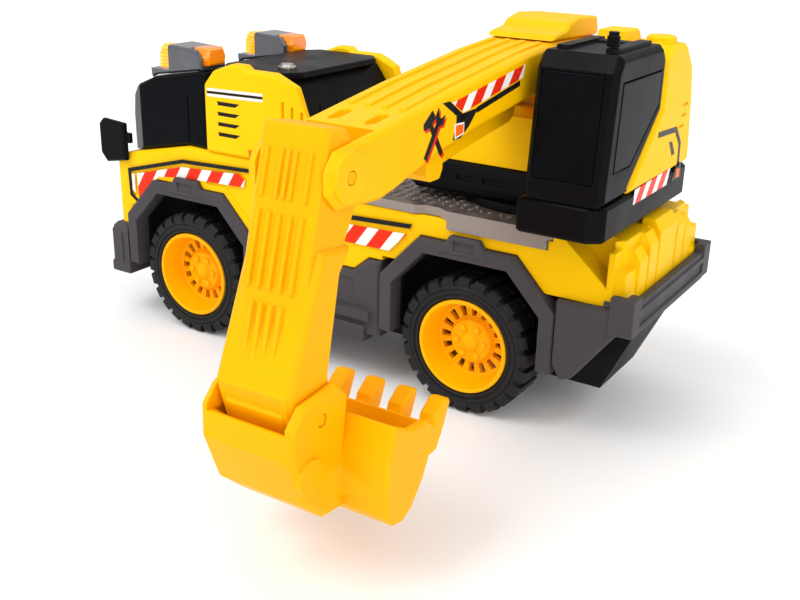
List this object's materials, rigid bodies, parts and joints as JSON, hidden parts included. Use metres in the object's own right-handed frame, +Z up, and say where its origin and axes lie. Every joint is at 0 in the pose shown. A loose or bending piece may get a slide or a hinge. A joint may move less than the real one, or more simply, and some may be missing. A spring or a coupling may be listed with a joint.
{
  "type": "toy excavator",
  "caption": "Toy truck-mounted excavator: a two-axle cab truck with roof beacons carries a swinging turret with operator's cab, boom, stick and toothed bucket.",
  "frame": {"origin": "centre of the bounding box, on the ground under the tyres", "axes": "+Z up; the truck's front is towards -X; the arm at rest points to the truck's left, which is -Y"},
  "size_m": [0.2944, 0.2514, 0.1703],
  "materials": {
    "yellow_plastic": "glossy moulded plastic, golden yellow",
    "orange_yellow_plastic": "glossy moulded plastic, a little more orange than the body",
    "grey_plastic": "satin moulded plastic, dark grey",
    "tread_plate_plastic": "dark tread pattern with a pale worn edge",
    "black_plastic": "glossy black plastic",
    "dark_glazing": "polished opaque black window plastic",
    "silver_plastic": "metallised plastic",
    "smoke_plastic": "translucent smoky grey plastic",
    "clear_lens": "clear lamp lens",
    "tyre_rubber": "soft black tyre",
    "steel": "plated steel",
    "amber_lens": "transparent amber lens, lit from inside"
  },
  "bodies": {
    "truck": {"chassis_base": "black_plastic", "battery_door": "black_plastic", "door_screw": "steel", "cab_body": "yellow_plastic", "rear_body": "yellow_plastic", "deck_plate": "tread_plate_plastic", "front_bumper": "grey_plastic", "rear_bumper": "grey_plastic", "front_grille": "black_plastic", "cab_glazing": "dark_glazing", "cab_back": "black_plastic", "cab_roof": "black_plastic", "swing_ring": "black_plastic", "front_left_arch": "grey_plastic", "front_right_arch": "grey_plastic", "rear_left_arch": "grey_plastic", "rear_right_arch": "grey_plastic", "left_side_box": "grey_plastic", "right_side_box": "grey_plastic", "cab_left_panel": "yellow_plastic", "cab_right_panel": "yellow_plastic", "left_mirror": "black_plastic", "left_light_pod": "smoke_plastic", "left_beacon": "amber_lens", "left_pod_lens": "amber_lens", "left_headlamp": "clear_lens", "right_mirror": "black_plastic", "right_light_pod": "smoke_plastic", "right_beacon": "amber_lens", "right_pod_lens": "amber_lens", "right_headlamp": "clear_lens"},
    "front_wheels": {"front_axle": "steel", "front_left_tyre": "tyre_rubber", "front_left_rim": "yellow_plastic", "front_right_tyre": "tyre_rubber", "front_right_rim": "yellow_plastic"},
    "rear_wheels": {"rear_axle": "steel", "rear_left_tyre": "tyre_rubber", "rear_left_rim": "yellow_plastic", "rear_right_tyre": "tyre_rubber", "rear_right_rim": "yellow_plastic"},
    "button": {"roof_button": "silver_plastic"},
    "turret": {"turret_base": "black_plastic", "spindle_washer": "steel", "spindle_screw": "steel", "turret_core": "yellow_plastic", "operator_cab": "black_plastic", "front_window": "dark_glazing", "side_window": "dark_glazing", "turret_housing": "yellow_plastic", "counterweight": "black_plastic", "exhaust_stack": "black_plastic", "boom_pin": "orange_yellow_plastic"},
    "boom": {"boom": "yellow_plastic", "boom_cap": "yellow_plastic", "boom_ram": "yellow_plastic", "stick_pin": "orange_yellow_plastic"},
    "stick": {"stick": "orange_yellow_plastic", "bucket_pin": "orange_yellow_plastic"},
    "bucket": {"bucket": "orange_yellow_plastic"}
  },
  "joints": [
    {"name": "front_axle_spin", "type": "hinge", "parent": "truck", "child": "front_wheels", "pos_m": [-0.08575, 0.07665, 0.0315], "axis": [0, 1, 0], "continuous": true},
    {"name": "rear_axle_spin", "type": "hinge", "parent": "truck", "child": "rear_wheels", "pos_m": [0.07125, 0.07665, 0.0315], "axis": [0, 1, 0], "continuous": true},
    {"name": "turret_swing", "type": "hinge", "parent": "truck", "child": "turret", "pos_m": [0.08375, 0.07665, 0.093], "axis": [0, 0, 1], "range_deg": [-30, 210]},
    {"name": "boom_lift", "type": "hinge", "parent": "turret", "child": "boom", "pos_m": [0.08375, 0.08065, 0.147], "axis": [-1, 0, 0], "range_deg": [-6, 32]},
    {"name": "stick_swing", "type": "hinge", "parent": "boom", "child": "stick", "pos_m": [0.08375, -0.09305, 0.137], "axis": [-1, 0, 0], "range_deg": [-12, 45]},
    {"name": "bucket_curl", "type": "hinge", "parent": "stick", "child": "bucket", "pos_m": [0.08375, -0.11035, 0.066], "axis": [-1, 0, 0], "range_deg": [-35, 30]},
    {"name": "roof_button_press", "type": "slide", "parent": "truck", "child": "button", "axis": [0, 0, -1], "range_m": [0, 0.0012], "stiffness_N_per_m": 400}
  ]
}
